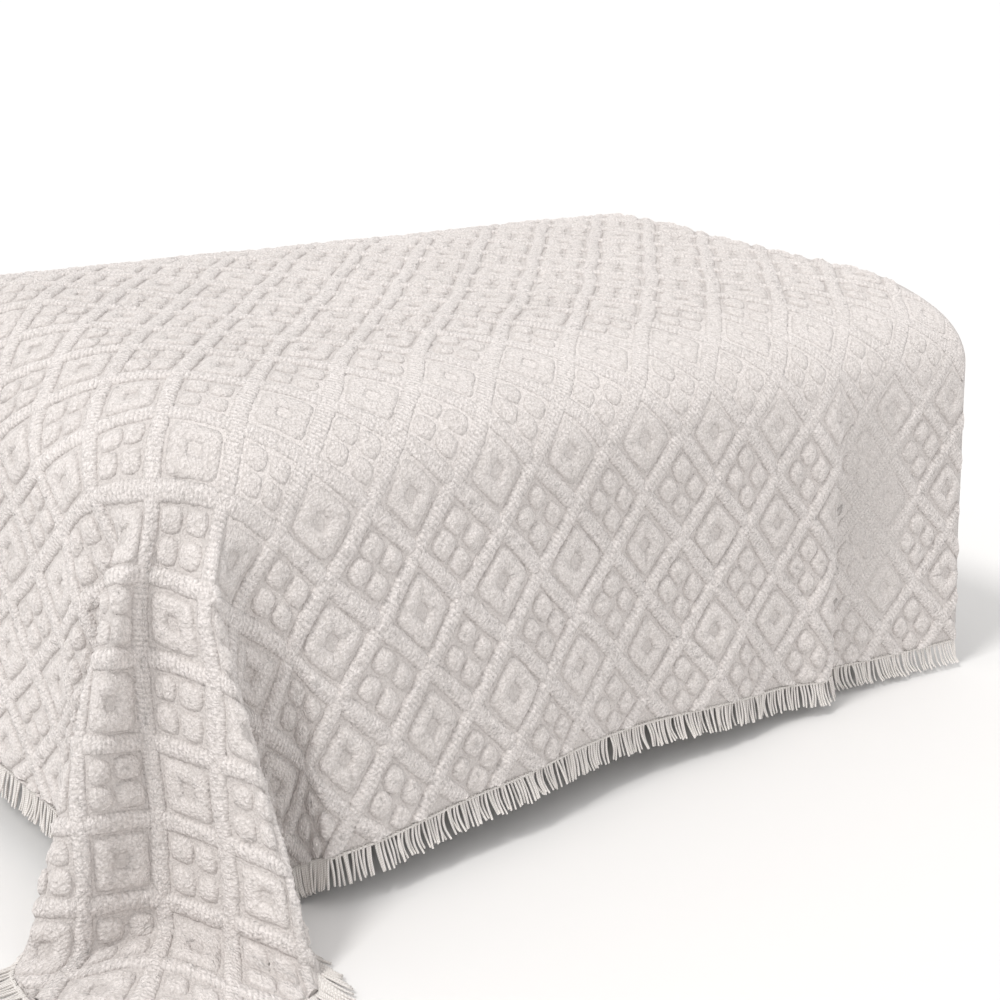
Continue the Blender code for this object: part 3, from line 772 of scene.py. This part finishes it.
def buildPads():
    # four cushions in each odd diamond: rounded squares in rising rings that close at the top
    form = padForm
    radius, level = np.array(form["section"]).T
    around, rows = form["around"], len(level)
    turn = (np.arange(around)[None] + 0.5) / around * 2 * pi
    shape = radius[:, None] * roundedSquare(turn, form["corner"]) * form["half"]
    middles = [(middle[:, None] + np.array(way) * form["place"]).ravel()
               for middle, way in zip(cellCentres(1), ((-1, 1, 1, -1), (-1, -1, 1, 1)))]
    points, middle = copyShape(*middles, shape, turn, form["noise"])
    count, each = len(middles[0]), rows * around + 1
    p, q = np.concatenate([points.reshape(2, count, -1), middle[..., 0]], -1)
    height = tuftHeight(np.append(np.repeat(level, around), form["top"]), p.shape)
    last = (rows - 1) * around + np.arange(around)
    fan = np.stack([last, np.full(around, each - 1), np.roll(last, -1)], -1)
    sides, fans, floors = [manyFaces(faces, count, each) for faces in
                           (gridFaces(rows, around, closedColumns=True), fan, np.arange(around)[None])]
    return putPile("pile_pads", *keepInside(*cellToFlat(p, q)), height, sides, [fans, floors], chenille)


bandsP, bandsQ = buildBands("p"), buildBands("q")
rings, pads = buildRings(), buildPads()
print("pile made")

fringe = {
    "pitch": (0.0072, 0.0216),
    "radius": 0.0024, "radiusNoise": 0.08, "taper": 0.15,
    "start": -0.004, "rootNoise": 0.0010,  # inside the hem, and to and fro along it
    "rootMargin": 0.001,  # from the ends of the hem
    "bunch": (2, 6),  # strands: this many, up to fewer than this
    "length": 0.050, "lengthNoise": 0.035, "lengths": (0.9, 1.06),
    "gather": 0.18,  # how far the tips of a bunch are drawn together
    "leansLate": 1.3,  # a power of the way down
    "sway": 0.0020, "tipNoise": 0.0016, "curl": 0.0030,
    "wave": 0.005, "waveTurns": (9.0, 2.0, 3.7),  # the tips lean this way and that, in slow turns
    "drift": {"near": 0.007, "foot": 0.005, "far": -0.005},
    "flare": 0.007,  # the tips curve outwards by this
    "standOff": 0.0008, "bow": 0.0018, "bend": 0.0024,  # off the cloth: all, half way down, at the tip
    "floor": 0.0006, "floorRound": 0.0002,  # strands lie flattened on the floor
    "steps": 7, "around": 5,
    "reachStep": 0.002, "reachRange": (0.7, 2.5),
}
cord = {"radius": 0.0022, "pitch": (0.009, 0.02), "standOff": 0.0002, "around": 6}
hems = {"near": (hemNear, (1, 0)), "far": (hemFar, (-1, 0)), "foot": (hemFoot, (0, -1))}  # the way off each


def hemPlace(side, along):
    # flat u and v of a place along a hem
    edge = np.full_like(along, hems[side][0])
    return (along, edge) if side == "foot" else (edge, along)


def hemReach(side, u, v):
    # flat distance past the hem for each metre straight off it: the stretch of the hem over that of the area
    step = fringe["reachStep"]
    slopeU, slopeV = clothSlopes(u, v, step)
    hem = np.linalg.norm(slopeU if side == "foot" else slopeV, axis=-1)
    return np.clip(2 * step * hem / np.linalg.norm(np.cross(slopeU, slopeV), axis=-1), *fringe["reachRange"])


def hemPoint(side, along, off):
    # the point at this place along a hem and this far past it
    u, v = hemPlace(side, along)
    wayU, wayV = hems[side][1]
    past = off * hemReach(side, u, v)
    return clothPoint(u + wayU * past, v + wayV * past)


def buildFringe(side):
    # strands whose tips lean to the middle of their bunch; each is a round section on a path that leaves the
    # cloth by the square of the way down
    s, steps, around = fringe, fringe["steps"], fringe["around"]
    first, last = (hemFar, hemNear) if side == "foot" else (hemFoot, hemHead)
    count = int((last - first) / pick(s["pitch"]))
    root = first + (np.arange(count) + 0.5) * (last - first) / count + rng.normal(0, s["rootNoise"], count)
    root = np.clip(root, first + s["rootMargin"], last - s["rootMargin"])
    bunch = np.repeat(np.arange(count), rng.integers(*s["bunch"], count))[:count]
    middle = (np.bincount(bunch, root) / np.maximum(np.bincount(bunch), 1))[bunch]
    sway, curl = rng.normal(0, 1, (2, bunch.max() + 1))[:, bunch] * np.array([[s["sway"]], [s["curl"]]])
    often, deep, slow = s["waveTurns"]
    wave = s["wave"] * np.sin(often * root + deep * np.sin(slow * root))
    tip = root + (middle - root) * s["gather"] + sway + rng.normal(0, s["tipNoise"], count) + wave
    lean = np.clip(tip + s["drift"][side], first, last) - root
    length = s["length"] * (1 + rng.normal(0, s["lengthNoise"], (count, 1))).clip(*s["lengths"])
    t = np.linspace(0, 1, steps)
    along = root[:, None] + lean[:, None] * t ** s["leansLate"] + curl[:, None] * np.sin(pi * t)
    off = s["start"] + (length - s["start"]) * t
    bend = rng.normal(0, s["bow"], (count, 1)) * np.sin(pi * t) + rng.normal(0, s["bend"], (count, 1)) * t
    normal = clothNormal(*hemPlace(side, root))[:, None]
    path = hemPoint(side, along, off) + normal * (bend + s["standOff"] + s["flare"] * t**2)[..., None]
    radius = s["radius"] * (1 + rng.normal(0, s["radiusNoise"], (count, 1))) * (1 - s["taper"] * t**4)
    points, share = aroundTube(path, normal, radius[..., None, None], around)
    lowest = s["floor"] + s["floorRound"] * (1 + np.sin(share * 2 * pi))
    points[..., 2] = np.maximum(points[..., 2], lowest)
    flat = np.stack(np.broadcast_arrays(share, off[..., None]), -1) + rng.random((2, count)).T[:, None, None]
    sides, ends = [manyFaces(faces, count, steps * around) for faces in
                   (gridFaces(steps, around, closedColumns=True), roundCaps(around, steps))]
    piece = putMesh(f"fringe_yarns_{side}", points, sides, [ends], flat, look=yarnLook)
    return piece


def tubeOnPath(name, path, radius, around, look, closed=False, steep=0.95):
    # a round section carried along a path, its normal upright, or across the bed where the path is steep
    climb = np.abs(unit(np.gradient(path, axis=0))[:, 2:])
    points, share = aroundTube(path, np.where(climb > steep, (1.0, 0, 0), (0, 0, 1.0)), radius, around)
    flat = np.stack(np.broadcast_arrays(share, runAlong(path)[:, None]), -1)
    caps = () if closed else [roundCaps(around, len(path))]
    return putMesh(name, points, gridFaces(len(path), around, closed, True), caps, flat, look=look)


def buildHeading():
    # the corded edge that the strands hang from, along the three fringed hems
    rows = []
    ways = (("far", hemHead, hemFoot), ("foot", hemFar, hemNear), ("near", hemFoot, hemHead))
    for side, first, last in ways:
        along = np.linspace(first, last, int(abs(last - first) / pick(cord["pitch"])))[1:-1]
        rows.append(hemPoint(side, along, 0) + clothNormal(*hemPlace(side, along)) * cord["standOff"])
    return tubeOnPath("hem_cord", np.concatenate(rows), cord["radius"], cord["around"], yarnLook)


strands = {side: buildFringe(side) for side in ("near", "foot", "far")}
hemCord = buildHeading()
print("fringe made")

bed = {
    "topClear": 0.0045, "edgeClear": 0.016, "clearEarly": 0.6, "headClear": 0.012,  # under the cloth
    "topPoints": (61, 63), "edgeSteps": 14, "mattressBottom": 0.50,
}


def mattressPoint(across, along):
    # each coordinate crosses the flat top up to 1, then the rounded edge, and one more reaches the bottom:
    # the cloth's surface, moved in along its normal by its thickness and the clearance
    c, b = cloth, bed
    innerX = np.where(across > 0, innerNear, innerFar)
    pastX, pastY = np.maximum(np.abs(across) - 1, 0), np.maximum(-along - 1, 0)
    share = np.maximum(pastX, pastY)
    angle = np.arctan2(pastX, pastY) * (share > 0)
    zone = edgeWidth(across > 0, angle / (pi / 2))
    over = np.minimum(share, edgeRun[-1])
    width = np.interp(over, edgeRun, edgeAcross) * zone
    down = np.interp(over, edgeRun, edgeDown) * zone
    tilt = np.interp(over, edgeRun, np.gradient(edgeDown, edgeRun))
    beforeX = np.where(np.abs(across) > 1, pastX * zone, (np.abs(across) - 1) * innerX)
    beforeY = np.where(-along > 1, pastY * zone, (-along - 1) * innerY)
    opening = smoothStep(np.maximum(beforeX, beforeY) / c["edgeZone"] + b["clearEarly"])
    inset = c["thick"] + b["topClear"] + b["edgeClear"] * opening
    width = np.maximum(width - inset * tilt, 0)
    side = np.sign(across)
    x = side * (np.minimum(np.abs(across), 1) * innerX + width * np.sin(angle))
    y = np.clip(along, -1, None) * innerY - width * np.cos(angle) * (pastY > 0)
    crown = crownHeight(side * (np.abs(x) + inset * tilt), pastX * zone, pastY * zone, zone)
    z = c["topHeight"] + crown - down - inset * np.sqrt(np.maximum(1 - tilt * tilt, 0))
    z = z + (b["mattressBottom"] - z) * np.maximum(share - edgeRun[-1], 0)
    return np.stack([x, y, z], axis=-1)


def buildMattress():
    # the grid of mattressPoint, shut by its head face and its bottom
    edge = 1 + np.append(np.linspace(0, edgeRun[-1], bed["edgeSteps"] + 1)[1:], edgeRun[-1] + 1)
    head = (cloth["topLength"] / 2 - bed["headClear"]) / innerY
    across = np.concatenate([-edge[::-1], np.linspace(-1, 1, bed["topPoints"][0]), edge])
    along = np.concatenate([-edge[::-1], np.linspace(-1, head, bed["topPoints"][1])])
    grid = mattressPoint(*np.meshgrid(across, along))
    rows, columns = grid.shape[:2]
    number = np.arange(rows * columns).reshape(rows, columns)
    bottom = np.concatenate([number[:, 0], number[::-1, -1], number[0, -2:0:-1]])
    caps = [number[-1:, ::-1], bottom[None]]
    return putMesh("mattress_body", grid, gridFaces(rows, columns), caps, look=ticking), grid[-1]


mattress, headRow = buildMattress()
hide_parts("mattress")

endPanel = {
    "margin": 0.012, "topMargin": 0.010,  # inside the mattress's head face
    "columns": 150, "rows": 44,
    "diamond": 0.085, "puff": 0.0100, "seam": 0.10,  # the seam's softness is in diamonds
    "edgeSoft": 0.010, "front": 0.0004, "back": 0.004,
    "welt": 0.0045, "weltAround": 8,
}


def buildMattressEnd():
    # the quilted end panel across the head face: it puffs by 1 - exp(-distance to the crossed stitches), less
    # by the root of the way to its edge
    s = endPanel
    y = headRow[0, 1]
    left, right = headRow[:, 0].min() + s["margin"], headRow[:, 0].max() - s["margin"]
    x = np.linspace(left, right, s["columns"])
    bottom = bed["mattressBottom"] + s["margin"]
    top = np.interp(x, headRow[1:-1, 0], headRow[1:-1, 2]) - s["topMargin"]
    rise = (top - bottom) * np.linspace(0, 1, s["rows"])[:, None]
    gridX = np.broadcast_to(x, rise.shape)
    ways = np.stack([gridX + rise, gridX - rise]) / s["diamond"]
    puff = s["puff"] * (1 - np.exp(-np.abs(ways - np.round(ways)).min(0) / s["seam"]))
    edge = np.minimum.reduce([gridX - left, right - gridX, rise, top - bottom - rise])
    puff = puff * np.clip(edge / s["edgeSoft"], 0, 1) ** 0.5 + s["front"]
    front = np.stack([gridX, y + puff, bottom + rise], -1)
    back = np.stack([gridX, np.full_like(rise, y - s["back"]), bottom + rise], -1)
    piece = putMesh("mattress_end", np.stack([front, back]), slabFaces(*rise.shape), look=ticking)
    welt = tubeOnPath("mattress_welt", rimOf(front), s["welt"], s["weltAround"], ticking, closed=True)
    return piece, welt


mattressEnd, mattressWelt = buildMattressEnd()

baseForm = {
    "inset": 0.03, "corner": 0.12, "bottom": 0.10, "gap": 0.0003,
    "cornerPoints": 14, "outlinePoints": 320,
    "edge": ((0.60, 0.002), (0.05, 0.002), (0.012, 0), (0.003, 0.003), (0.0006, 0.012), (0, 0.05)),
    "seam": ((0, -0.030), (0.0008, -0.008), (0.004, -0.0015)),  # inset and height, like the edge
    "welt": 0.0036, "weltAround": 6, "weltHeight": 0.008, "weltOut": 1.0006,
}


def roundedBox(width, length, corner):
    # points at even steps round a rectangle with round corners
    turn = np.linspace(0, pi / 2, baseForm["cornerPoints"])
    arcs = []
    for k, (wayX, wayY) in enumerate(((1, -1), (1, 1), (-1, 1), (-1, -1))):
        angle = turn + (k - 1) * pi / 2
        arcs.append(np.stack([wayX * (width / 2 - corner) + corner * np.cos(angle),
                              wayY * (length / 2 - corner) + corner * np.sin(angle)], -1))
    closed = np.concatenate([*arcs, arcs[0][:1]])
    run = runAlong(closed)
    at = np.linspace(0, run[-1], baseForm["outlinePoints"] + 1)[:-1]
    return np.stack([np.interp(at, run, closed[:, k]) for k in (0, 1)], -1)


def buildBase():
    # the base's section, from the middle of its underside to that of its top, carried round the outline; the
    # upper half is the lower one mirrored
    b = baseForm
    width, length = cloth["topWidth"] - 2 * b["inset"], cloth["topLength"] - 2 * b["inset"]
    bottom, top = b["bottom"], bed["mattressBottom"] - b["gap"]
    outline = roundedBox(width, length, b["corner"])
    lower = np.concatenate([np.array(b["edge"]) + (0, bottom), np.array(b["seam"]) + (0, (bottom + top) / 2)])
    inset, z = np.concatenate([lower, lower[::-1] * (1, -1) + (0, bottom + top)]).T
    shrink = 1 - inset[:, None] / np.array((width / 2, length / 2))
    rows, columns = len(outline), len(z)
    heights = np.broadcast_to(z[:, None], (rows, columns, 1))
    points = np.concatenate([outline[:, None] * shrink, heights], -1)
    underside = np.arange(rows) * columns
    caps = [np.stack([underside, (underside + columns - 1)[::-1]])]
    piece = putMesh("base_body", points, gridFaces(rows, columns, closedRows=True), caps, look=baseLook)
    welts = []
    for name, height in (("top", top - b["weltHeight"]), ("low", bottom + b["weltHeight"])):
        path = np.concatenate([outline * b["weltOut"], np.full((rows, 1), height)], -1)
        welts.append(tubeOnPath(f"base_welt_{name}", path, b["welt"], b["weltAround"], baseLook, closed=True))
    return piece, welts


base, baseWelts = buildBase()
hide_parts("bed_base")
for name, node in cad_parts.items():
    if name.startswith("foot_"):
        node.material_slots[0].material = wood
print("bed made")

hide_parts("bedspread")
for side, piece in strands.items():
    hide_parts(f"fringe_{side}")
hemNear - hemFar
hemHead - hemFoot

studio = {
    "floor": {"Base Color": (0.82, 0.815, 0.81, 1), "Roughness": 0.8, "Specular IOR Level": 0.2},
    "floorHalf": 400.0, "floorHeight": -0.0005,
    "sky": (1.0, 0.99, 0.985), "skyPower": 0.90,
    "key": {"towards": (0.05, -0.60, 0.90), "spread": 13, "power": 1.44, "colour": (1.0, 0.985, 0.965)},
    "fill": {"towards": (0.90, -0.25, 0.70), "spread": 40, "power": 0.10, "colour": (0.98, 0.99, 1.0)},
}


def addFloor(s):
    # one wide level square
    half, z = s["floorHalf"], s["floorHeight"]
    mesh = bpy.data.meshes.new("floor")
    corners = [(x * half, y * half, z) for x, y in ((-1, -1), (1, -1), (1, 1), (-1, 1))]
    mesh.from_pydata(corners, [], [(0, 1, 2, 3)])
    mesh.materials.append(newLook("pale_floor", s["floor"])[0])
    floor = putObject("floor", mesh)


def addLight(name, towards, spread, power, colour):
    # a wide far lamp; towards is the way to it, which its back faces, and spread its width in degrees
    data = bpy.data.lights.new(name, "SUN")
    data.angle, data.energy, data.color = radians(spread), power, colour
    back = unit(np.array(towards))
    right = unit(np.cross((0, 0, 1), back))
    putObject(name, data).matrix_world = turned(right, np.cross(back, right), back)


def addSky(s):
    # one even colour from everywhere
    world = bpy.data.worlds.new("studio")
    world.use_nodes = True
    sky = world.node_tree.nodes["Background"]
    sky.inputs["Color"].default_value = (*s["sky"], 1)
    sky.inputs["Strength"].default_value = s["skyPower"]
    bpy.context.scene.world = world


addFloor(studio)
for lamp in ("key", "fill"):
    addLight(lamp, **studio[lamp])
addSky(studio)
bpy.context.scene.view_settings.view_transform = "Standard"
print("floor and light made")
